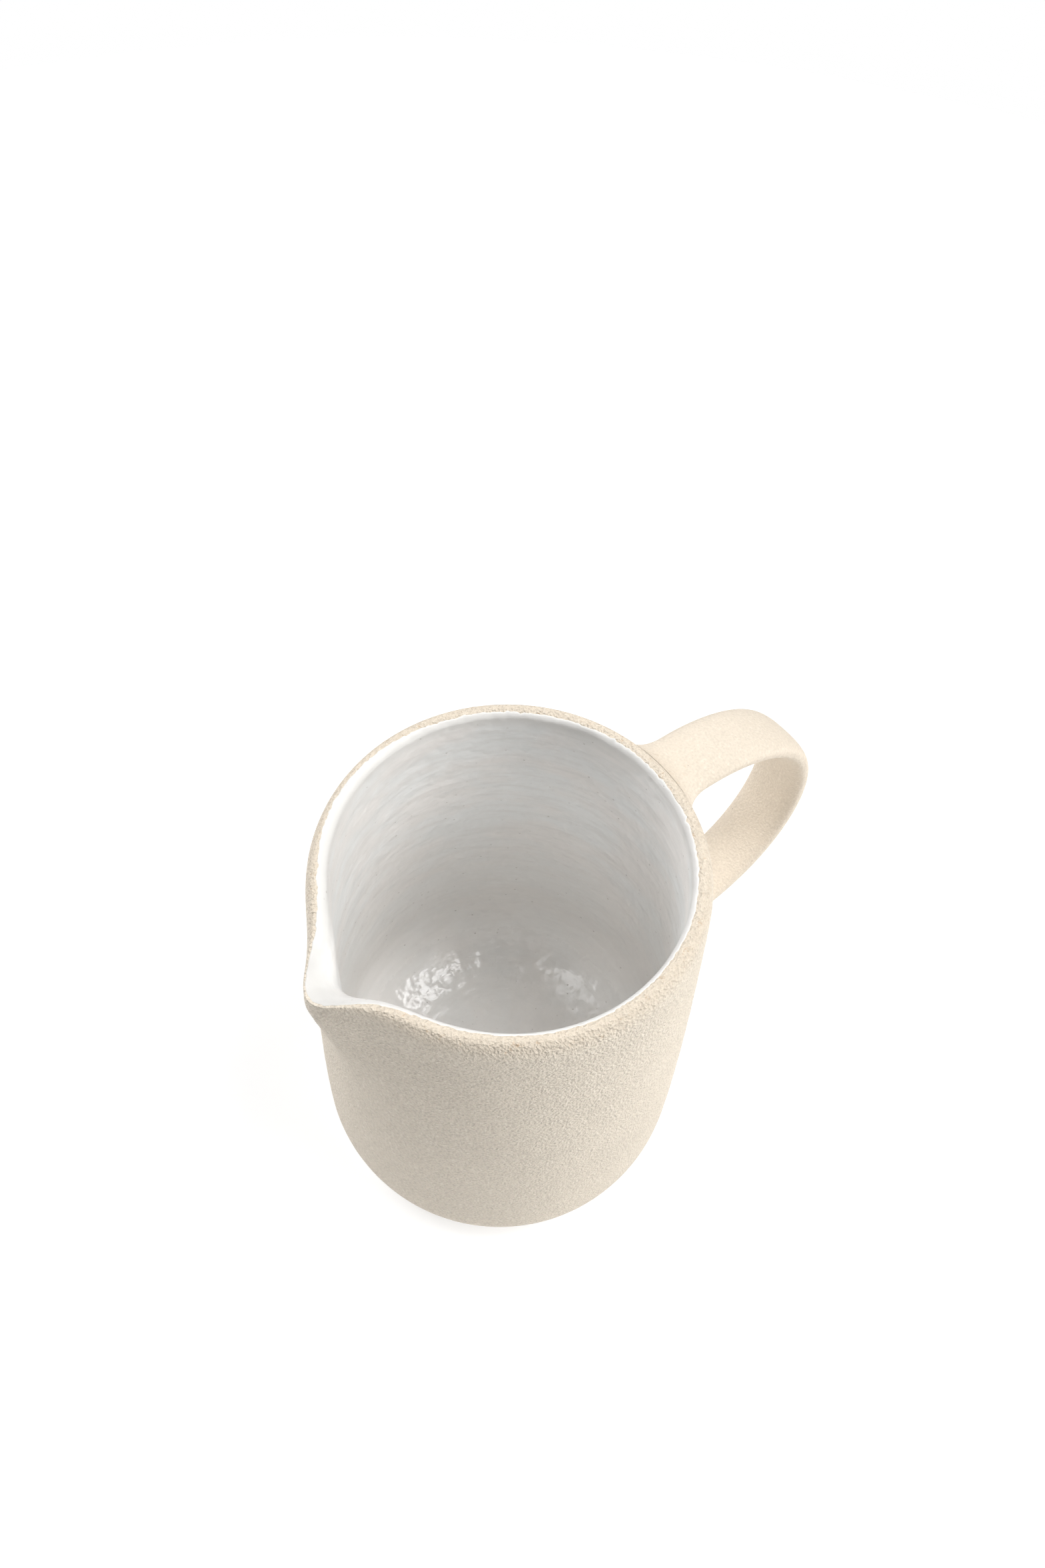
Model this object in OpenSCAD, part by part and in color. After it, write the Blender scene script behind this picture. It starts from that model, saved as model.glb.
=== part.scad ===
// Small hand-thrown stoneware pitcher: a plain pot with a pulled spout, one strap handle
// and a glazed inside. The origin is the middle of the foot, +X points at the handle,
// and the spout is opposite it, towards -X.

/* [Pot] */
// Height of the rim above the table
height = 121.4; // [110:0.2:135]
// Outer radius at the rim
rim_radius = 44.2; // [41:0.2:47]
// Outer radius where the wall is fullest, just above the foot
belly_radius = 49.9; // [48:0.1:53]
// Height where the wall is fullest
belly_height = 13.7; // [10:0.1:20]
// Radius of the flat foot
foot_radius = 42; // [36:0.5:45]
// How late the wall leans in on its way up: 1 is a straight cone
wall_lean = 1.45; // [1:0.05:2]

/* [Inside] */
// Thickness of the wall and width of the lip
wall = 4.6; // [4:0.1:6]
// Thickness of the floor
floor_thickness = 7; // [5:0.5:10]
// Radius of the flat middle of the floor inside
well_radius = 14; // [8:0.5:24]
// Height inside where the floor's curve meets the wall
well_top = 24.4; // [20:0.2:34]
// Thickness of the glaze
glaze = 0.4; // [0.3:0.05:0.8]
// Where the glaze stops on the lip, in degrees from the outside over the top
glaze_edge = 135; // [110:5:165]

/* [Spout] */
// How far the lip is pulled out
spout_reach = 8.8; // [5:0.2:12]
// How far the tip dips below the rim
spout_drop = 5.3; // [1:0.1:7]
// How far down the wall the spout starts
spout_depth = 56; // [40:1:70]
// Angle from the tip at which a quarter of the pull is left
spout_spread = 14.5; // [11:0.5:20]
// How far the inside of the wall follows it, below the lip
throat_reach = 5.2; // [3:0.2:8]
// How much further the inner edge of the lip folds outwards at the tip
lip_flare = 6.2; // [4:0.1:6.5]
// Height of the fold
flare_height = 6; // [4:0.5:10]

/* [Handle] */
// Width of the strap
strap_width = 17; // [14:0.5:20]
// Thickness of the strap
strap_thickness = 5.9; // [4.5:0.1:7]
// Height of the strap's middle where it leaves the wall at the top
handle_top = 113.5; // [108:0.5:115]
// Height of the strap's middle where it meets the wall at the bottom
handle_foot = 40; // [36:0.5:50]
// How far out the control points of the strap's curve reach
handle_reach = 111; // [100:0.5:120]
// Size of the fillet of clay round each end
fillet = 3.4; // [1.6:0.2:4]

/* [Hidden] */

around = 72;           // facets round the pot
crowding = 22;         // degrees by which those facets crowd towards the spout
turn_steps = 6;        // rings in the rounded foot
well_steps = 9;        // rings in the bowl inside
wall_steps = 16;       // rings up each side of the wall
lip_steps = 8;         // facets over the lip
strap_sides = 28;      // points round the strap
strap_steps = 42;      // rings along the strap
fillet_wall_rings = 3; // rings of each fillet that lie on the wall
fillet_arc_steps = 4;  // facets across the hollow of each fillet
well_squareness = 2.3; // 2 is an ellipse, more is boxier
strap_squareness = 2.6;
search_steps = 20;     // halvings in the search for the wall
top_search = [-0.08, 0.25]; // places along the strap's path inside and outside the wall
foot_search = [1.08, 0.75];
nudge = 0.001;         // small step along the strap's path

// Shape of the strap's path: it leaves the rim rising, turns over a shoulder and an elbow,
// and comes back in under a heel
rim_out = 10.3;
rim_lift = 5.5;
shoulder_in = 11.5;
shoulder_drop = 1.5;
elbow_height = 80.5;
heel_in = 5;
heel_drop = 14.5;
foot_bury = 3.4;

lip = wall / 2;
handle_path = [
    [rim_radius - lip, handle_top],
    [rim_radius + rim_out, handle_top + rim_lift],
    [handle_reach - shoulder_in, handle_top - shoulder_drop],
    [handle_reach, elbow_height],
    [handle_reach - heel_in, handle_foot - heel_drop],
    [belly_radius - foot_bury, handle_foot]
];

// ---- curves ------------------------------------------------------------------

function mix(a, b, t) = a + (b - a) * t;
function clamp(x) = min(max(x, 0), 1);
// A sine or cosine pushed out from a circle to a superellipse
function boxed(x, squareness) = sign(x) * pow(abs(x), 2 / squareness);

// A point of the Bezier curve with control points p
function bezier(p, t) =
    len(p) == 1 ? p[0] : bezier([for (i = [0 : len(p) - 2]) mix(p[i], p[i + 1], t)], t);

// Outer radius of the pot at height z
function outer_radius(z) =
    z < belly_height
        ? mix(foot_radius, belly_radius, sqrt(1 - pow(1 - clamp(z / belly_height), 2)))
        : mix(belly_radius, rim_radius,
              pow(clamp((z - belly_height) / (height - belly_height)), wall_lean));

// The meridian is a list of rings [radius, height, side]: side is 0 outside and 1 inside
function foot_turn() = [for (i = [0 : turn_steps - 1])
    let (z = belly_height * (1 - cos(90 * i / turn_steps))) [outer_radius(z), z, 0]];
function outer_wall() = [for (i = [0 : wall_steps - 1])
    let (z = mix(belly_height, height - lip, i / wall_steps)) [outer_radius(z), z, 0]];
function lip_arc(from, to, steps) = [for (i = [0 : steps])
    let (a = mix(from, to, i / steps))
    [rim_radius - lip + lip * cos(a), height - lip + lip * sin(a), a / 180]];
function inner_wall() = [for (i = [1 : wall_steps - 1])
    let (z = mix(height - lip, well_top, i / wall_steps)) [outer_radius(z) - wall, z, 1]];
function well_turn() = [for (i = [0 : well_steps])
    let (a = 90 * i / well_steps, well_edge = outer_radius(well_top) - wall)
    [mix(well_radius, well_edge, boxed(cos(a), well_squareness)),
     mix(well_top, floor_thickness, boxed(sin(a), well_squareness)), 1]];

// The inside of the pot without its lip, from the lip down to the floor
inside = concat(inner_wall(), well_turn());

// ---- spout -------------------------------------------------------------------

// Share of the spout's pull at an angle round the pot
function pull(angle) = let (away = angle - 180) pow(1 + pow(away / spout_spread, 2), -2);
// Share of the pull at height z: none below the spout, all of it at the rim
function rise(z) = let (u = clamp((z - height + spout_depth) / spout_depth)) u * u * (2 - u);
// Share of the lip's fold at height z
function fold(z) = pow(clamp((z - height + flare_height) / flare_height), 2);

// The point of ring g at an angle round the pot
function pot_point(g, angle) =
    let (lean = pull(angle) * rise(g[1]),
         r = g[0] + mix(spout_reach, throat_reach, g[2]) * lean
             + lip_flare * g[2] * pull(angle) * fold(g[1]))
    [r * cos(angle), r * sin(angle), g[1] - spout_drop * lean];

// Angles round the pot, closer together at the spout
function pot_angles() = [for (i = [0 : around - 1])
    let (u = 360 * i / around - 180) 180 + u - crowding * sin(u)];

// ---- meshes ------------------------------------------------------------------

// Two triangles for each cell between ring i and ring i + 1
function band(i, n, next) = [for (j = [0 : n - 1])
    let (a = i * n + j, b = i * n + (j + 1) % n, c = next * n + j, d = next * n + (j + 1) % n)
    each [[a, c, b], [b, c, d]]];

// A closed solid turned from rings, with a point at each end of the meridian
module turned(meridian, start_z, end_z) {
    angles = pot_angles();
    rings = [for (g = meridian) for (angle = angles) pot_point(g, angle)];
    last = (len(meridian) - 1) * around;
    start = len(rings);
    points = concat(rings, [[0, 0, start_z], [0, 0, end_z]]);
    faces = concat(
        [for (j = [0 : around - 1]) [start, j, (j + 1) % around]],
        [for (i = [0 : len(meridian) - 2]) each band(i, around, i + 1)],
        [for (j = [0 : around - 1]) [last + j, start + 1, last + (j + 1) % around]]);
    polyhedron(points, faces, convexity = 6);
}

// ---- strap -------------------------------------------------------------------

// Point j of the strap's section, as [across, through], grown outwards by g
function section(j, g) =
    let (a = 360 * j / strap_sides)
    [(strap_width / 2 + g) * boxed(cos(a), strap_squareness),
     (strap_thickness / 2 + g) * boxed(sin(a), strap_squareness)];

// A small step along the handle's path at place t
function path_step(t) = bezier(handle_path, t + nudge) - bezier(handle_path, t - nudge);

// A point of the section s carried to place t along the handle's path
function strap_point(t, s) =
    let (c = bezier(handle_path, t),
         ahead = path_step(t),
         out = [-ahead[1], ahead[0]] / norm(ahead))
    [c[0] + s[1] * out[0], s[0], c[1] + s[1] * out[1]];

// Outer radius at height z with the lip's rounding taken off
function rounded_radius(z) =
    outer_radius(z) - lip + sqrt(lip * lip - pow(min(max(z - height + lip, 0), lip), 2));

// How far a point is outside the pot
function clearance(p) = norm([p[0], p[1]]) - rounded_radius(p[2]);

// The place along the path where a point of the section meets the wall, found by halving
function wall_crossing(s, buried, free, steps) =
    let (middle = (buried + free) / 2)
    steps == 0 ? middle
        : clearance(strap_point(middle, s)) < 0
            ? wall_crossing(s, middle, free, steps - 1)
            : wall_crossing(s, buried, middle, steps - 1);
function top_crossing(s) = wall_crossing(s, top_search[0], top_search[1], search_steps);
function foot_crossing(s) = wall_crossing(s, foot_search[0], foot_search[1], search_steps);

// Millimetres of path for each unit of t
function speed(t) = norm(path_step(t)) / (2 * nudge);

// Where point j of ring i is along the path. The first and last gaps are one fillet long
function strap_place(i, j) =
    let (top = top_crossing(section(j, 0)), foot = foot_crossing(section(j, 0)),
         first = top + fillet / speed(top), final = foot - fillet / speed(foot))
    i == 0 ? top : i == strap_steps ? foot : mix(first, final, (i - 1) / (strap_steps - 2));

// A collar of clay round one end of the strap: flat on the wall, flat on the strap and
// hollow between. crossing(s) is the end's place, next is the strap's next ring there
function collar_point(j, k, top) =
    let (last_wall_ring = fillet_wall_rings - 1,
         a = 90 * max(k - last_wall_ring, 0) / fillet_arc_steps,
         g = k < last_wall_ring ? fillet * k / last_wall_ring : fillet * (1 - sin(a)),
         s = section(j, g),
         end = top ? 0 : strap_steps,
         beside = top ? 1 : strap_steps - 1,
         start = top ? top_crossing(s) : foot_crossing(s),
         length = strap_place(beside, j) - strap_place(end, j))
    strap_point(start + length * (1 - cos(a)), s);

module collar(top) {
    sides = fillet_wall_rings + fillet_arc_steps;
    points = [for (k = [0 : sides - 1]) for (j = [0 : strap_sides - 1]) collar_point(j, k, top)];
    cells = [for (k = [0 : sides - 1]) each band(k, strap_sides, (k + 1) % sides)];
    polyhedron(points, [for (f = cells) top ? f : [f[0], f[2], f[1]]], convexity = 6);
}

// ---- pieces ------------------------------------------------------------------

module body() {
    meridian = concat(foot_turn(), outer_wall(), lip_arc(0, 180, lip_steps), inside);
    color([0.88, 0.82, 0.73]) turned(meridian, 0, floor_thickness);
}

// The glaze lies on the body's own rings and is one glaze thickness deep
module interior_glaze() {
    under = concat(lip_arc(glaze_edge, 180, 2), inside);
    count = len(under);
    over = [for (i = [0 : count - 1])
        let (a = under[max(i - 1, 0)], b = under[min(i + 1, count - 1)],
             along = [b[0] - a[0], b[1] - a[1]] / norm([b[0] - a[0], b[1] - a[1]]))
        [under[i][0] + glaze * along[1], under[i][1] - glaze * along[0], under[i][2]]];
    meridian = concat([for (i = [count - 1 : -1 : 0]) under[i]], over);
    color([0.93, 0.93, 0.91]) turned(meridian, floor_thickness, floor_thickness + glaze);
}

module handle() {
    points = [for (i = [0 : strap_steps]) for (j = [0 : strap_sides - 1])
        strap_point(strap_place(i, j), section(j, 0))];
    half = strap_sides / 2;
    last = strap_steps * strap_sides;
    sides = [for (i = [0 : strap_steps - 1]) each band(i, strap_sides, i + 1)];
    // Each end is closed by strips across the strap's thickness, so it follows the wall
    strips = [for (j = [0 : half - 1])
        let (a = j, b = j + 1, c = half * 2 - j - 1, d = (half * 2 - j) % strap_sides)
        each (j == 0 ? [[a, b, c]] : j == half - 1 ? [[a, b, d]] : [[a, b, c], [a, c, d]])];
    caps = [for (f = strips) each [f, [last + f[0], last + f[2], last + f[1]]]];
    color([0.93, 0.88, 0.8]) polyhedron(points, concat(sides, caps), convexity = 6);
}

module upper_handle_join() {
    color([0.9, 0.84, 0.76]) collar(true);
}

module lower_handle_join() {
    color([0.9, 0.84, 0.76]) collar(false);
}

body();
interior_glaze();
handle();
upper_handle_join();
lower_handle_join();
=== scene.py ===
"""Looks of the small stoneware pitcher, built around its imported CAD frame.

Shapes are worked out in millimetres from the CAD boxes and the dimensions below, and turned
into metres when a mesh is made. +X points at the handle and the spout is opposite it.
"""
import math

import bpy
import numpy as np
from mathutils import Matrix, Vector


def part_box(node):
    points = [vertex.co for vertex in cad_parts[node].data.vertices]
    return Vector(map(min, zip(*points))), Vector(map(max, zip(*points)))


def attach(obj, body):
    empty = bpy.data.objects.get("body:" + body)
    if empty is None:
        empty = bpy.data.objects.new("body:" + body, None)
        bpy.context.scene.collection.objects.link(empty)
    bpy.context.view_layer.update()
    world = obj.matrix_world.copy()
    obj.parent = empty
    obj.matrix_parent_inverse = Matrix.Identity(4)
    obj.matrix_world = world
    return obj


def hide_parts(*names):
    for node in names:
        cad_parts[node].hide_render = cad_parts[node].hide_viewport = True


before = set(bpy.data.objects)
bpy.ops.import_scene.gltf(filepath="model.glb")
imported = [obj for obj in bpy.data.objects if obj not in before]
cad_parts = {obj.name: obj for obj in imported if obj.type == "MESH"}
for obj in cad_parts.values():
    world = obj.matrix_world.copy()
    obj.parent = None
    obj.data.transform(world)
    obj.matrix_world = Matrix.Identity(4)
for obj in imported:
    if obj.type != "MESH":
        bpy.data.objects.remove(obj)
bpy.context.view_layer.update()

MM = 0.001


def node_box(node):
    """Lowest and highest corner of a CAD node, in millimetres."""
    low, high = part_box(node)
    return np.array(low) / MM, np.array(high) / MM


def rgb(r, g, b):
    return (r, g, b, 1.0)


# ---- dimensions, in millimetres and degrees ---------------------------------------------

pot_high = node_box("body")[1]
glaze_low = node_box("interior_glaze")[0]
strap_low, strap_high = node_box("handle")

HEIGHT = pot_high[2]
BELLY_RADIUS = pot_high[1]
BELLY_HEIGHT = 13.7
RIM_RADIUS = 44.2
FOOT_RADIUS = 42.0
WALL_LEAN = 1.45
WALL = 4.6
LIP = WALL / 2
SHOULDER = 6.0          # height over which the outside rounds into the lip
FLOOR = glaze_low[2]
WELL_RADIUS = 14.0
WELL_TOP = 24.4
WELL_SQUARENESS = 2.3

SPOUT_REACH = 8.8
SPOUT_DROP = 5.3
SPOUT_DEPTH = 56.0
SPOUT_SPREAD = 14.5
THROAT_REACH = 5.2
LIP_FLARE = 6.2
FLARE_HEIGHT = 6.0

GLAZE = 0.4
LIP_GLAZE = 0.15        # its depth over the lip
GLAZE_THICKENS = 5.0    # height below the lip over which it reaches its full depth
GLAZE_SWELL = 0.5       # distance in from its edge over which it swells

# The glaze stops this many degrees over the lip, counted from the outside
GLAZE_STOP = 125.0
# It climbs towards the outside: by how much, at which angle round the pot, over what spread
GLAZE_CLIMBS = ((33.0, 128.0, 38.0), (22.0, 175.0, 16.0))
# Its edge wanders by this much, and by more near one angle, which is counted from the spout
GLAZE_WANDER = 60.0
GLAZE_RAGGED = (40.0, 145.0, 40.0)
EDGE_SEED = 5
EDGE_WAVES = 220
EDGE_FALL = 0.25        # how fast the wander's finer waves weaken

# Turning marks: share of the line count and weight of each wave
MARK_WAVES = ((1.0, 1.0), (1.73, 0.6), (0.41, 0.9))
MARK_SPACING = 0.37     # turns between the waves
MARK_DRIFT = 1.3        # radians by which they wander round the pot
POT_MARKS = {"depth": 0.07, "lines": 21, "phase": 0.4}      # lines to 100 mm
GLAZE_MARKS = {"depth": 0.09, "lines": 24, "phase": 1.9}

STRAP_WIDTH = strap_high[1] - strap_low[1]
STRAP_THICKNESS = 5.9
STRAP_SQUARENESS = 2.6
HANDLE_TOP = 113.5
HANDLE_FOOT = 40.0
HANDLE_REACH = strap_high[0] + 11.0
STRAP_PATH = np.array([
    (RIM_RADIUS - LIP, HANDLE_TOP),                 # in the wall under the lip
    (54.5, HANDLE_TOP + 5.5),                       # out and a little up
    (HANDLE_REACH - 11.5, HANDLE_TOP - 1.5),        # over the bend
    (HANDLE_REACH, 80.5),                           # down the back
    (HANDLE_REACH - 5.0, HANDLE_FOOT - 14.5),       # round under the fingers
    (BELLY_RADIUS - 3.4, HANDLE_FOOT),              # in the wall again
])
PATH_STEP = 0.001       # share of the path stepped either way to find its direction
TOP_SEARCH = (-0.08, 0.25)      # places on the path inside the wall and free of it, at the top
FOOT_SEARCH = (1.08, 0.75)      # the same at the foot
HALVINGS = 40

FILLET = 3.4
FILLET_SPREAD = 1.5     # how much wider than high each fillet is
FILLET_RUN = 6.0        # how far each fillet runs along the strap

# ---- how finely the meshes are divided ----------------------------------------------------

AROUND = 400            # facets round the pot
CROWDING = 20.0         # degrees by which they crowd towards the spout
FOOT_RINGS = 10
HEEL_RINGS = 24
WALL_RINGS = 84
LIP_RINGS = 29
HIDDEN_RINGS = (24, 12)         # down the wall and round the well, under the glaze
GLAZE_RINGS = (84, 36)          # the same on the glaze
EDGE_RINGS = 18
EDGE_CROWDING = 1.3             # how much they crowd towards the glaze's edge
WELL_RINGS = 10
HIDDEN_SKIP = 3                 # the glaze's underside keeps every third ring
STRAP_SIDES = 96        # points round the strap
STRAP_RINGS = 260       # rings along the strap
JOIN_RINGS = (5, 17, 3)         # along the wall, over the fillet and back along the strap
SHARP = 40.0            # edges bent by more than this are shaded sharp

# ---- colours ------------------------------------------------------------------------------

POT_CLAY = (0.83, 0.76, 0.665)
STRAP_CLAY = (0.775, 0.70, 0.605)
PALE_GRAIN = rgb(0.93, 0.87, 0.76)
# Toasted rim, darkened further as painted shade on the up-facing lip
TOAST_AND_PAINTED_SHADE = rgb(0.66, 0.555, 0.43)
RUST = rgb(0.50, 0.31, 0.15)
IRON_SPECK = rgb(0.14, 0.09, 0.06)
COOL_GLAZE = rgb(0.905, 0.915, 0.91)
WARM_GLAZE = rgb(0.925, 0.902, 0.88)
STREAK = rgb(0.82, 0.812, 0.795)
LOW_GLAZE = rgb(0.91, 0.885, 0.855)
# Painted shade: greyer glaze on the lip, which faces up into the most light
LIP_PAINTED_SHADE = rgb(0.81, 0.80, 0.78)
# Painted shade: greyer glaze in the spout's throat, which faces up into the high softboxes
SPOUT_PAINTED_SHADE = rgb(0.70, 0.69, 0.67)
PINHOLE = rgb(0.42, 0.38, 0.34)
FLOOR_TONES = rgb(0.55, 0.55, 0.55), rgb(0.57, 0.57, 0.57)
WHITE = rgb(1.0, 1.0, 1.0)

# ---- camera, lights and studio floor ------------------------------------------------------

VIEW_TURN = -130.07     # direction from the pitcher to the camera, degrees from +X
VIEW_LIFT = 64.73       # degrees above the floor
VIEW_DISTANCE = 300.0
VIEW_PAN = -0.3         # degrees the camera is turned off the pitcher's middle
VIEW_TILT = -9.74
VIEW_ROLL = 3.54
LENS = 26.1             # millimetres, for a frame 36 mm high
FRAME_HEIGHT = 36.0
MIDDLE = Vector((0, 0, HEIGHT / 2 * MM))

SOFTBOX_DISTANCE = 1.1  # metres from the pitcher's middle
# Name, degrees to the camera's right, degrees up, width and height in metres, watts, colour
SOFTBOXES = (
    ("left_softbox", -123, 32, 0.6, 0.7, 8.0, (1.0, 1.0, 1.0)),
    ("right_softbox", 78, 46, 0.6, 0.7, 5.7, (1.0, 0.99, 0.97)),
    ("low_right_softbox", 90, 15, 0.6, 0.7, 3.2, (1.0, 0.98, 0.95)),
    ("front_softbox", -5, 44, 0.6, 0.7, 2.5, (1.0, 1.0, 1.0)),
    ("high_right_softbox", 100, 66, 0.34, 0.48, 4.6, (1.0, 1.0, 1.0)),
    ("high_left_softbox", -88, 68, 0.28, 0.42, 1.5, (1.0, 1.0, 1.0)),
)
WORLD_LIGHT = 0.03      # strength of the background as a light; the camera sees it white
FLOOR_GLOW = 0.56
FLOOR_REACH = 0.7       # metres
FLOOR_RINGS = 24
FLOOR_SIDES = 96


# ---- the pot's surface ------------------------------------------------------------------

def outer_radius(z):
    """Outer radius of the wall at height z."""
    low = FOOT_RADIUS + (BELLY_RADIUS - FOOT_RADIUS) * np.sqrt(
        1 - (1 - np.clip(z / BELLY_HEIGHT, 0, 1)) ** 2)
    rise = np.clip((z - BELLY_HEIGHT) / (HEIGHT - BELLY_HEIGHT), 0, 1)
    high = BELLY_RADIUS - (BELLY_RADIUS - RIM_RADIUS) * rise ** WALL_LEAN
    return np.where(z < BELLY_HEIGHT, low, high)


def rounded_radius(z):
    """Outer radius with the lip's rounding taken off."""
    above = np.clip((z - HEIGHT + SHOULDER) / SHOULDER, 0, 1)
    return outer_radius(z) - LIP + LIP * np.sqrt(1 - above ** 2)


def ripple(angle, z, lines, phase):
    """Faint turning marks: rings that climb a little as they go round, about 1 at most."""
    turn = angle / 360
    total = sum(weight * np.sin(2 * np.pi * (z * (lines * share) / 100 + turn + MARK_SPACING * k)
                                + phase + MARK_DRIFT * np.sin(np.radians(angle) + k))
                for k, (share, weight) in enumerate(MARK_WAVES))
    return total / sum(weight for _, weight in MARK_WAVES)


def marked(angle, z, depth, lines, phase):
    """Turning marks of that depth, to be added to a surface."""
    return depth * ripple(angle, z, lines, phase)


def wobble(angle, seed, count, fall):
    """A smooth random curve round the pot that closes on itself, about 1 at most."""
    rng = np.random.default_rng(seed)
    phases = rng.uniform(0, 360, count)
    weights = rng.uniform(0.4, 1.0, count) / np.arange(1, count + 1) ** fall
    total = sum(w * np.cos(np.radians((k + 1) * angle + p))
                for k, (w, p) in enumerate(zip(weights, phases)))
    return total / weights.sum()


def pull(angle):
    """Share of the spout's pull at an angle round the pot."""
    return (1 + ((angle - 180) / SPOUT_SPREAD) ** 2) ** -2


def spouted(radius, z, side, angle):
    """Point of the pot with the spout pulled out: side is 0 outside and 1 inside."""
    up = np.clip((z - HEIGHT + SPOUT_DEPTH) / SPOUT_DEPTH, 0, 1)
    lean = pull(angle) * up * up * (2 - up)
    fold = np.clip((z - HEIGHT + FLARE_HEIGHT) / FLARE_HEIGHT, 0, 1) ** 2
    reach = SPOUT_REACH + (THROAT_REACH - SPOUT_REACH) * side
    r = radius + reach * lean + LIP_FLARE * side * pull(angle) * fold
    turn = np.radians(angle)
    return np.stack([r * np.cos(turn), r * np.sin(turn), z - SPOUT_DROP * lean], -1)


def pot_angles():
    """Angles round the pot, closer together at the spout."""
    u = np.linspace(-180, 180, AROUND, endpoint=False)
    return 180 + u - CROWDING * np.sin(np.radians(u))


def lip_point(a):
    """Radius, height and side of the lip at a degrees from the outside over the top."""
    c, s = np.cos(np.radians(a)), np.sin(np.radians(a))
    depth = np.where(a < 90, SHOULDER, LIP)
    z = HEIGHT - depth + (depth - LIP_GLAZE) * s
    return outer_radius(z) - LIP + LIP * c, z, a / 180


def inner_path(count_wall, count_well):
    """Radius and height down the inside, from below the lip to the flat of the floor."""
    z = np.linspace(HEIGHT - LIP, WELL_TOP, count_wall, endpoint=False)[1:]
    a = np.radians(np.linspace(0, 90, count_well))
    across, down = np.clip([np.cos(a), np.sin(a)], 0, 1) ** (2 / WELL_SQUARENESS)
    edge = outer_radius(np.array(WELL_TOP)) - WALL
    radius = np.concatenate([outer_radius(z) - WALL,
                             WELL_RADIUS + (edge - WELL_RADIUS) * across])
    height = np.concatenate([z, WELL_TOP + (FLOOR - WELL_TOP) * down])
    return radius, height


# ---- meshes -----------------------------------------------------------------------------

def make_piece(name, points, faces, material, node):
    """A smooth-shaded piece from points in millimetres. It stands for one CAD node."""
    mesh = bpy.data.meshes.new(name)
    mesh.from_pydata((points * MM).tolist(), [], faces)
    mesh.validate()
    mesh.polygons.foreach_set("use_smooth", [True] * len(mesh.polygons))
    mesh.set_sharp_from_angle(angle=math.radians(SHARP))
    mesh.materials.append(material)
    piece = bpy.data.objects.new(name, mesh)
    bpy.context.scene.collection.objects.link(piece)
    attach(piece, "root")
    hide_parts(node)
    return piece


def band_faces(rings, around, closed=False):
    """Quads between neighbouring rings of a grid."""
    i = np.arange(rings if closed else rings - 1)[:, None]
    j = np.arange(around)[None, :]
    a, b = i * around + j, i * around + (j + 1) % around
    step = (i + 1) % rings
    c, d = step * around + (j + 1) % around, step * around + j
    return np.stack([a, d, c, b], -1).reshape(-1, 4).tolist()


def turned_mesh(rings, start, end):
    """Points and faces of a closed solid turned from rings, with a point at each end."""
    count, around = rings.shape[:2]
    points = np.concatenate([rings.reshape(-1, 3), [start, end]])
    faces = band_faces(count, around)
    first, last = count * around, (count - 1) * around
    faces += [[first, j, (j + 1) % around] for j in range(around)]
    faces += [[last + j, first + 1, last + (j + 1) % around] for j in range(around)]
    return points, faces


# ---- the pot and its glaze ----------------------------------------------------------------

def build_pot(material):
    """The thrown vessel: foot, wall, lip and the inside under the glaze."""
    angle = pot_angles()[None, :]
    foot = np.linspace(0.1, 1, FOOT_RINGS, endpoint=False) * FOOT_RADIUS
    quarter = np.radians(np.linspace(0, 90, HEEL_RINGS, endpoint=False))
    wall = np.linspace(BELLY_HEIGHT, HEIGHT - SHOULDER, WALL_RINGS, endpoint=False)
    outside = np.concatenate([BELLY_HEIGHT * (1 - np.cos(quarter)), wall])
    lip_r, lip_z, lip_side = lip_point(np.linspace(0, 180, LIP_RINGS))
    in_r, in_z = inner_path(*HIDDEN_RINGS)
    radius = np.concatenate([foot, outer_radius(outside), lip_r, in_r])[:, None]
    height = np.concatenate([foot * 0, outside, lip_z, in_z])[:, None]
    side = np.concatenate([foot * 0, outside * 0, lip_side, in_r * 0 + 1])[:, None]
    # Turning marks fade out at the foot, at the lip and on the hidden inside
    strength = np.clip(height / 20, 0, 1) * (1 - side) * np.clip((HEIGHT - height) / 8, 0, 1)
    radius = radius + strength * marked(angle, height, **POT_MARKS)
    rings = spouted(radius, height, side, angle)
    points, faces = turned_mesh(rings, (0, 0, 0), (0, 0, FLOOR))
    return make_piece("pot", points, faces, material, "body")


def hump(angle, middle, spread):
    """1 at the middle angle, falling away to almost nothing at twice the spread."""
    return np.exp(-((angle - middle) / spread) ** 2)


def glaze_edge(angle):
    """Where the glaze stops on the lip: it climbs onto the top at the left and the spout."""
    climb = sum(rise * hump(angle, middle, spread) for rise, middle, spread in GLAZE_CLIMBS)
    rise, middle, spread = GLAZE_RAGGED
    ragged = GLAZE_WANDER + rise * hump(np.mod(angle + 180, 360), middle, spread)
    return GLAZE_STOP - climb + ragged * wobble(angle, EDGE_SEED, EDGE_WAVES, EDGE_FALL)


def glaze_bed(angle):
    """Radius, height and side of the surface the glaze lies on, from its edge to the floor."""
    start = glaze_edge(angle)
    share = np.linspace(0, 1, EDGE_RINGS)[:, None] ** EDGE_CROWDING
    lip = np.stack(lip_point(start + (180 - start) * share))
    in_r, in_z = inner_path(*GLAZE_RINGS)
    radius = np.concatenate([in_r, np.linspace(0.9, 0.08, WELL_RINGS) * WELL_RADIUS])
    height = np.concatenate([in_z, np.full(WELL_RINGS, FLOOR)])
    inside = np.stack([radius, height, np.ones_like(radius)])
    return np.concatenate([lip, np.repeat(inside[:, :, None], AROUND, 2)], 1)


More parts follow.
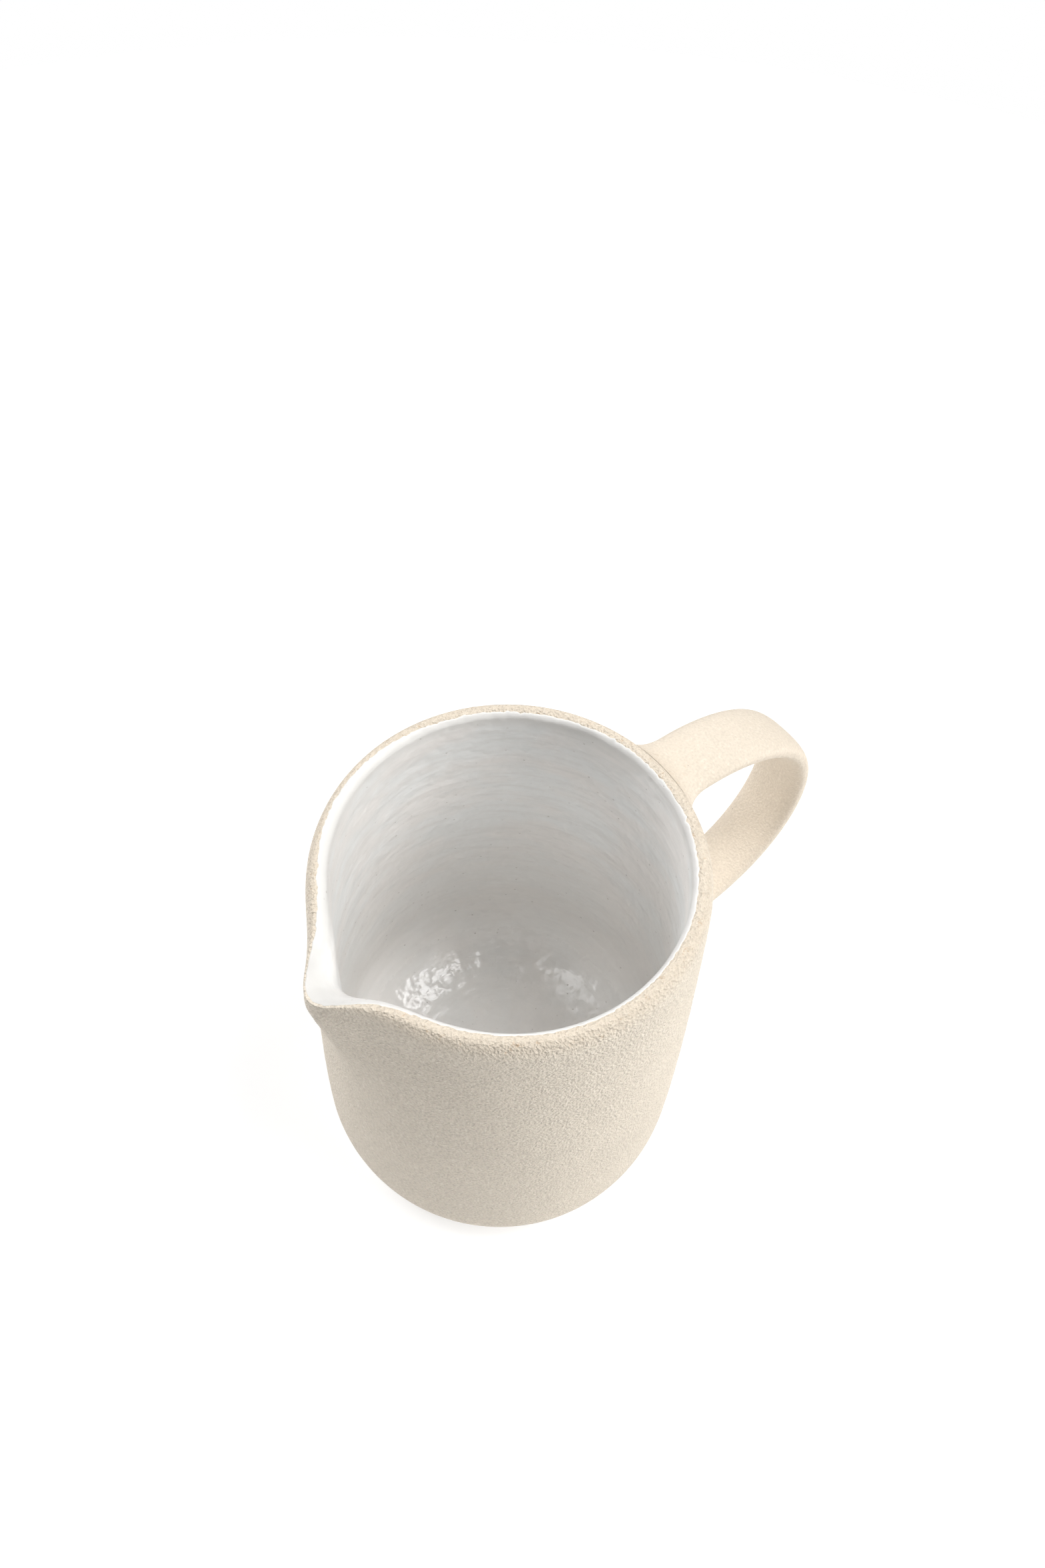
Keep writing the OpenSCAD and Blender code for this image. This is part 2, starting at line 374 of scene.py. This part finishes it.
def glaze_depth(angle, height, gone):
    """Depth of the glaze at a height, gone millimetres in from its edge."""
    full = LIP_GLAZE + (GLAZE - LIP_GLAZE) * np.clip((HEIGHT - LIP - height) / GLAZE_THICKENS, 0, 1)
    swelling = np.sqrt(1 - (1 - np.clip(gone / GLAZE_SWELL, 0, 1)) ** 2)
    # Turning marks fade out at the lip and on the floor
    strength = np.clip((HEIGHT - 3 - height) / 12, 0, 1) * np.clip((height - FLOOR) / 10, 0, 1)
    return full * swelling + strength * marked(angle, height, **GLAZE_MARKS)


def build_glaze(material):
    """The glaze: a thin layer with a rounded, uneven edge on the lip."""
    angle = pot_angles()[None, :]
    radius, height, side = glaze_bed(angle)
    along_r, along_z = np.gradient(radius, axis=0), np.gradient(height, axis=0)
    length = np.hypot(along_r, along_z)
    gone = np.cumsum(length, axis=0) - length[0]
    depth = glaze_depth(angle, height, gone)
    top_r = radius + depth * along_z / length
    top_z = height - depth * along_r / length
    under = spouted(radius, height, side, angle)[::HIDDEN_SKIP][::-1]
    over = spouted(top_r, top_z, side, angle)
    rings = np.concatenate([under, over[1:]])
    points, faces = turned_mesh(rings, (0, 0, FLOOR), (0, 0, FLOOR + GLAZE))
    return make_piece("glaze_layer", points, faces, material, "interior_glaze")


# ---- the strap and its joins --------------------------------------------------------------

def bezier(t):
    """Point of the strap's path at t, as (outwards, up)."""
    n = len(STRAP_PATH) - 1
    weights = np.stack([math.comb(n, i) * t ** i * (1 - t) ** (n - i) for i in range(n + 1)], -1)
    return weights @ STRAP_PATH


def stride(t):
    """Step along the path from just before t to just after it."""
    return bezier(t + PATH_STEP) - bezier(t - PATH_STEP)


def speed(t):
    """Millimetres of path for each unit of t."""
    return np.linalg.norm(stride(t), axis=-1) / (2 * PATH_STEP)


def section(grow):
    """The strap's section grown outwards, as (across, through) for each point round it."""
    a = np.linspace(0, 2 * np.pi, STRAP_SIDES, endpoint=False)
    power = 2 / STRAP_SQUARENESS
    half_width = STRAP_WIDTH / 2 + FILLET_SPREAD * grow
    half_depth = STRAP_THICKNESS / 2 + grow
    across = half_width * np.sign(np.cos(a)) * np.abs(np.cos(a)) ** power
    through = half_depth * np.sign(np.sin(a)) * np.abs(np.sin(a)) ** power
    return np.stack([across, through], -1)


def strap_point(t, s):
    """Points of the section s carried to places t along the path."""
    centre = bezier(t)
    ahead = stride(t)
    ahead /= np.linalg.norm(ahead, axis=-1, keepdims=True)
    x = centre[..., 0] - s[..., 1] * ahead[..., 1]
    z = centre[..., 1] + s[..., 1] * ahead[..., 0]
    return np.stack([x, np.broadcast_to(s[..., 0], x.shape), z], -1)


def crossing(s, top):
    """Where on the path each point of the section s meets the wall, found by halving."""
    buried, free = TOP_SEARCH if top else FOOT_SEARCH
    inner = np.full(len(s), buried)
    outer = np.full(len(s), free)
    for _ in range(HALVINGS):
        middle = (inner + outer) / 2
        p = strap_point(middle, s)
        inside = np.hypot(p[:, 0], p[:, 1]) < rounded_radius(p[:, 2])
        inner = np.where(inside, middle, inner)
        outer = np.where(inside, outer, middle)
    return inner


def build_strap(material):
    """The pulled strap, from the wall round to the wall."""
    s = section(0)
    top, foot = crossing(s, True), crossing(s, False)
    share = np.linspace(0, 1, STRAP_RINGS)[:, None]
    place = top + (foot - top) * share
    points = strap_point(place, np.broadcast_to(s, place.shape + (2,)))
    faces = [f[::-1] for f in band_faces(STRAP_RINGS, STRAP_SIDES)]
    # Strips across the section close the ends. Those at its two edges are triangles
    half, last = STRAP_SIDES // 2, (STRAP_RINGS - 1) * STRAP_SIDES
    for j in range(half):
        cap = [j, j + 1, STRAP_SIDES - j - 1, (STRAP_SIDES - j) % STRAP_SIDES]
        cap = list(dict.fromkeys(cap))
        faces += [cap, [last + k for k in cap[::-1]]]
    return make_piece("strap", points.reshape(-1, 3), faces, material, "handle")


def build_join(name, node, top, material):
    """Clay worked round one end of the strap: a hollow fillet between wall and strap."""
    along_wall, over_fillet, along_strap = JOIN_RINGS
    s = section(0)
    start = crossing(s, top)
    reach = (1 if top else -1) * FILLET_RUN / speed(start)
    rings = []
    for grow in np.linspace(0, FILLET, along_wall, endpoint=False):
        g = section(grow)
        rings.append(strap_point(crossing(g, top), g))
    for a in np.radians(np.linspace(0, 90, over_fillet)):
        g = section(FILLET * (1 - math.sin(a)))
        rings.append(strap_point(crossing(g, top) + reach * (1 - math.cos(a)), g))
    for back in np.linspace(1, 0, along_strap + 2)[1:-1]:
        rings.append(strap_point(start + reach * back, s))
    faces = band_faces(len(rings), STRAP_SIDES, closed=True)
    if top:
        faces = [f[::-1] for f in faces]
    points = np.concatenate(rings)
    return make_piece(name, points, faces, material, node)


# ---- materials ----------------------------------------------------------------------------

class Nodes:
    """Short calls for building a node tree."""

    def __init__(self, name):
        self.material = bpy.data.materials.new(name)
        self.material.use_nodes = True
        self.tree = self.material.node_tree
        self.shader = self.tree.nodes["Principled BSDF"]
        self.place = self.add("ShaderNodeTexCoord").outputs["Object"]

    def add(self, kind, **settings):
        node = self.tree.nodes.new(kind)
        for key, value in settings.items():
            setattr(node, key, value)
        return node

    def feed(self, socket, value):
        if isinstance(value, bpy.types.NodeSocket):
            self.tree.links.new(value, socket)
        else:
            socket.default_value = value

    def math(self, operation, a, b=0.0):
        node = self.add("ShaderNodeMath", operation=operation)
        self.feed(node.inputs[0], a)
        self.feed(node.inputs[1], b)
        return node.outputs[0]

    def ramp(self, value, low, high, to_low=0.0, to_high=1.0):
        """Smooth change from to_low to to_high while the value goes from low to high."""
        node = self.add("ShaderNodeMapRange", interpolation_type="SMOOTHSTEP")
        for socket, number in zip(node.inputs, (value, low, high, to_low, to_high)):
            self.feed(socket, number)
        return node.outputs[0]

    def mix(self, share, a, b):
        """Colour a, with that share of colour b."""
        node = self.add("ShaderNodeMix", data_type="RGBA")
        for socket, value in ((node.inputs[0], share), (node.inputs[6], a), (node.inputs[7], b)):
            self.feed(socket, value)
        return node.outputs[2]

    def tint(self, colour, other, mask, strength):
        """The colour mixed with the other by strength where the mask is 1."""
        return self.mix(self.math("MULTIPLY", mask, strength), colour, other)

    def noise(self, vector, size, detail=2.0, roughness=0.5):
        """Noise whose features are about size millimetres across."""
        node = self.add("ShaderNodeTexNoise")
        self.feed(node.inputs["Vector"], vector)
        node.inputs["Scale"].default_value = 1 / (size * MM)
        node.inputs["Detail"].default_value = detail
        node.inputs["Roughness"].default_value = roughness
        return node.outputs["Fac"]

    def specks(self, vector, size, radius):
        """Round specks on cells of that size, at random strengths up to 1, and 0 elsewhere."""
        cell = self.add("ShaderNodeTexVoronoi")
        self.feed(cell.inputs["Vector"], vector)
        cell.inputs["Scale"].default_value = 1 / (size * MM)
        near = self.ramp(cell.outputs["Distance"], radius, radius * 0.4)
        chance = self.add("ShaderNodeSeparateColor")
        self.feed(chance.inputs[0], cell.outputs["Color"])
        return self.math("MULTIPLY", near, self.ramp(chance.outputs[0], 0.55, 0.95))

    def split(self):
        """The three coordinates of the place on the object."""
        node = self.add("ShaderNodeSeparateXYZ")
        self.feed(node.inputs[0], self.place)
        return node.outputs

    def wrapped(self, stretch):
        """Place on the wall as (round the pot, out, up), drawn out sideways by stretch."""
        x, y, z = self.split()
        turn = self.math("ARCTAN2", y, x)
        out = self.math("SQRT", self.math("ADD", self.math("MULTIPLY", x, x),
                                          self.math("MULTIPLY", y, y)))
        node = self.add("ShaderNodeCombineXYZ")
        self.feed(node.inputs[0], self.math("MULTIPLY", turn, RIM_RADIUS * MM / stretch))
        self.feed(node.inputs[1], out)
        self.feed(node.inputs[2], z)
        return node.outputs[0]

    def bump(self, height, depth, under=None):
        """Bump whose full height is depth millimetres, on top of the one under it."""
        node = self.add("ShaderNodeBump")
        node.inputs["Distance"].default_value = depth * MM
        node.inputs["Strength"].default_value = 1.0
        self.feed(node.inputs["Height"], height)
        if under is not None:
            self.feed(node.inputs["Normal"], under)
        return node.outputs["Normal"]


def shaded(pale, k):
    """The clay's pale colour at k of its brightness, a little warmer."""
    r, g, b = pale
    return rgb(r * k, g * k * 0.985, b * k * 0.96)


def clay_colour(n, pale, mottle, grain, soft):
    """Cream clay with cloudy, soft and grainy mottling, a toasted rim darkened further with painted
    shade, and dark specks.
    """
    cloud = n.noise(n.place, 26.0, 3.0, 0.5)
    colour = n.mix(n.ramp(cloud, 0.3, 0.7), shaded(pale, 1.0), shaded(pale, 0.95))
    colour = n.tint(colour, shaded(pale, 0.86), n.ramp(soft, 0.35, 0.75), 0.5 * mottle)
    colour = n.tint(colour, shaded(pale, 0.72), n.ramp(grain, 0.5, 0.34), 0.7 * mottle)
    colour = n.tint(colour, PALE_GRAIN, n.ramp(grain, 0.58, 0.72), 0.8 * mottle)
    # The rim is toasted, and darkened further as painted shade where the lip faces up into the
    # light
    rim = n.ramp(n.split()[2], (HEIGHT - 5) * MM, (HEIGHT - 0.5) * MM)
    colour = n.tint(colour, TOAST_AND_PAINTED_SHADE, rim, 0.35)
    patches = n.ramp(n.noise(n.place, 1.6, 3.0, 0.7), 0.60, 0.72)
    colour = n.tint(colour, RUST, n.math("MULTIPLY", patches, rim), 0.5)
    return n.tint(colour, IRON_SPECK, n.specks(n.place, 3.6, 0.055), 0.8)


def make_clay(name, pale, grain_depth, mottle):
    """Bare sandy stoneware with raised grains, which are smoother than the clay between."""
    n = Nodes(name)
    grain = n.noise(n.place, 0.62, 1.0, 0.5)
    soft = n.noise(n.place, 2.6, 3.0, 0.55)
    n.feed(n.shader.inputs["Base Color"], clay_colour(n, pale, mottle, grain, soft))
    n.feed(n.shader.inputs["Roughness"], n.ramp(grain, 0.3, 0.75, 0.95, 0.72))
    n.shader.inputs["Specular IOR Level"].default_value = 0.3
    broad = n.bump(soft, 0.1)
    n.feed(n.shader.inputs["Normal"], n.bump(grain, grain_depth, broad))
    return n.material


def glaze_colour(n, streak, holes):
    """Clouds and streaks, browner low down, and painted shade greying the glaze on the lip and in
    the spout.
    """
    x, _, height = n.split()
    cloud = n.noise(n.wrapped(2.0), 13.0, 3.0, 0.55)
    colour = n.mix(n.ramp(cloud, 0.38, 0.62), COOL_GLAZE, WARM_GLAZE)
    colour = n.tint(colour, STREAK, n.ramp(streak, 0.46, 0.66), 0.5)
    low = n.ramp(height, 0.75 * HEIGHT * MM, 0.2 * HEIGHT * MM)
    colour = n.tint(colour, LOW_GLAZE, low, 0.6)
    # Painted shade: the glaze greys towards the lip, which catches the most light from above
    lip = n.ramp(height, (HEIGHT - 7) * MM, (HEIGHT - 1.5) * MM)
    colour = n.mix(lip, colour, LIP_PAINTED_SHADE)
    # Painted shade: the glaze greys towards the spout, whose throat faces up into the lights
    spout = n.ramp(x, (2 - RIM_RADIUS) * MM, -(RIM_RADIUS + 5) * MM)
    colour = n.mix(spout, colour, SPOUT_PAINTED_SHADE)
    return n.tint(colour, PINHOLE, holes, 0.6)


def make_glaze():
    """Pale glaze: streaked and satin on the wall, glossy where it pools on the floor."""
    n = Nodes("pale_glaze")
    streak = n.noise(n.wrapped(8.0), 1.6, 4.0, 0.65)
    fine = n.noise(n.wrapped(2.0), 0.7, 3.0, 0.6)
    holes = n.specks(n.wrapped(1.4), 1.9, 0.15)
    n.feed(n.shader.inputs["Base Color"], glaze_colour(n, streak, holes))
    satin = n.ramp(fine, 0.3, 0.7, 0.36, 0.5)
    pooled = n.ramp(n.split()[2], (FLOOR + 10) * MM, (FLOOR + 3) * MM)
    n.feed(n.shader.inputs["Roughness"],
           n.math("MULTIPLY", satin, n.ramp(pooled, 0, 1, 1.0, 0.15)))
    n.shader.inputs["IOR"].default_value = 1.5
    uneven = n.bump(n.noise(n.place, 6.0, 2.0, 0.5), 0.7)
    brushed = n.bump(streak, 0.08, uneven)
    pitted = n.bump(n.math("SUBTRACT", fine, n.math("MULTIPLY", holes, 2.0)), 0.03, brushed)
    n.feed(n.shader.inputs["Normal"], pitted)
    return n.material


def make_floor_material():
    """Plain pale studio floor."""
    n = Nodes("studio_floor")
    n.feed(n.shader.inputs["Base Color"], n.mix(n.noise(n.place, 400.0), *FLOOR_TONES))
    n.shader.inputs["Roughness"].default_value = 0.9
    n.shader.inputs["Emission Color"].default_value = WHITE
    n.shader.inputs["Emission Strength"].default_value = FLOOR_GLOW
    return n.material


# ---- the studio ----------------------------------------------------------------------------

def direction(turn, lift):
    """Unit vector at turn degrees from +X and lift degrees above the floor."""
    turn, lift = math.radians(turn), math.radians(lift)
    return Vector((math.cos(lift) * math.cos(turn), math.cos(lift) * math.sin(turn),
                   math.sin(lift)))


def turned(a, b, degrees):
    """The axes a and b turned together in their own plane, a towards b."""
    c, s = math.cos(math.radians(degrees)), math.sin(math.radians(degrees))
    return a * c + b * s, b * c - a * s


def add_camera():
    """The camera, looking at the pitcher's middle and then panned, tilted and rolled."""
    back = direction(VIEW_TURN, VIEW_LIFT)
    ahead = -back
    right = ahead.cross(Vector((0, 0, 1))).normalized()
    up = right.cross(ahead)
    right, ahead = turned(right, ahead, VIEW_PAN)
    up, ahead = turned(up, ahead, VIEW_TILT)
    right, up = turned(right, up, VIEW_ROLL)
    data = bpy.data.cameras.new("camera")
    data.lens = LENS
    data.sensor_width = FRAME_HEIGHT
    camera = bpy.data.objects.new("camera", data)
    bpy.context.scene.collection.objects.link(camera)
    turn = Matrix((right, up, -ahead)).transposed().to_4x4()
    camera.matrix_world = Matrix.Translation(MIDDLE + back * VIEW_DISTANCE * MM) @ turn
    bpy.context.scene.camera = camera


def add_softbox(name, turn, lift, width, height, watts, colour):
    """A softbox facing the pitcher. Seen from above, turn is counter-clockwise."""
    data = bpy.data.lights.new(name, "AREA")
    data.shape = "RECTANGLE"
    data.size, data.size_y = width, height
    data.energy = watts
    data.color = colour
    light = bpy.data.objects.new(name, data)
    bpy.context.scene.collection.objects.link(light)
    out = direction(VIEW_TURN + turn, lift)
    light.location = MIDDLE + out * SOFTBOX_DISTANCE
    light.rotation_euler = out.to_track_quat("Z", "Y").to_euler()


def add_world():
    """A background that is white where the camera sees it and almost dark as a light."""
    world = bpy.data.worlds.new("studio")
    world.use_nodes = True
    tree = world.node_tree
    background = tree.nodes["Background"]
    background.inputs["Color"].default_value = WHITE
    seen = tree.nodes.new("ShaderNodeMapRange")
    seen.inputs["To Min"].default_value = WORLD_LIGHT
    tree.links.new(tree.nodes.new("ShaderNodeLightPath").outputs["Is Camera Ray"],
                   seen.inputs["Value"])
    tree.links.new(seen.outputs[0], background.inputs["Strength"])
    bpy.context.scene.world = world
    bpy.context.scene.view_settings.view_transform = "Standard"


def add_floor():
    """A wide white disc under the foot."""
    r = FLOOR_REACH * np.linspace(0.04, 1, FLOOR_RINGS)[:, None]
    a = np.linspace(0, 2 * np.pi, FLOOR_SIDES, endpoint=False)[None, :]
    points = np.stack([r * np.cos(a), r * np.sin(a), 0 * r + 0 * a], -1).reshape(-1, 3)
    points = np.concatenate([points, [(0, 0, 0)]])
    faces = band_faces(FLOOR_RINGS, FLOOR_SIDES)
    faces += [[len(points) - 1, j, (j + 1) % FLOOR_SIDES] for j in range(FLOOR_SIDES)]
    mesh = bpy.data.meshes.new("studio_floor")
    mesh.from_pydata(points.tolist(), [], faces)
    mesh.polygons.foreach_set("use_smooth", [True] * len(mesh.polygons))
    mesh.materials.append(make_floor_material())
    floor = bpy.data.objects.new("studio_floor", mesh)
    bpy.context.scene.collection.objects.link(floor)


# ---- the scene -----------------------------------------------------------------------------

add_camera()
for softbox in SOFTBOXES:
    add_softbox(*softbox)
add_world()
add_floor()
pot_clay = make_clay("pot_clay", POT_CLAY, 0.65, 0.7)
strap_clay = make_clay("strap_clay", STRAP_CLAY, 0.2, 0.35)
build_pot(pot_clay)
build_glaze(make_glaze())
build_strap(strap_clay)
build_join("upper_join", "upper_handle_join", True, strap_clay)
build_join("lower_join", "lower_handle_join", False, strap_clay)
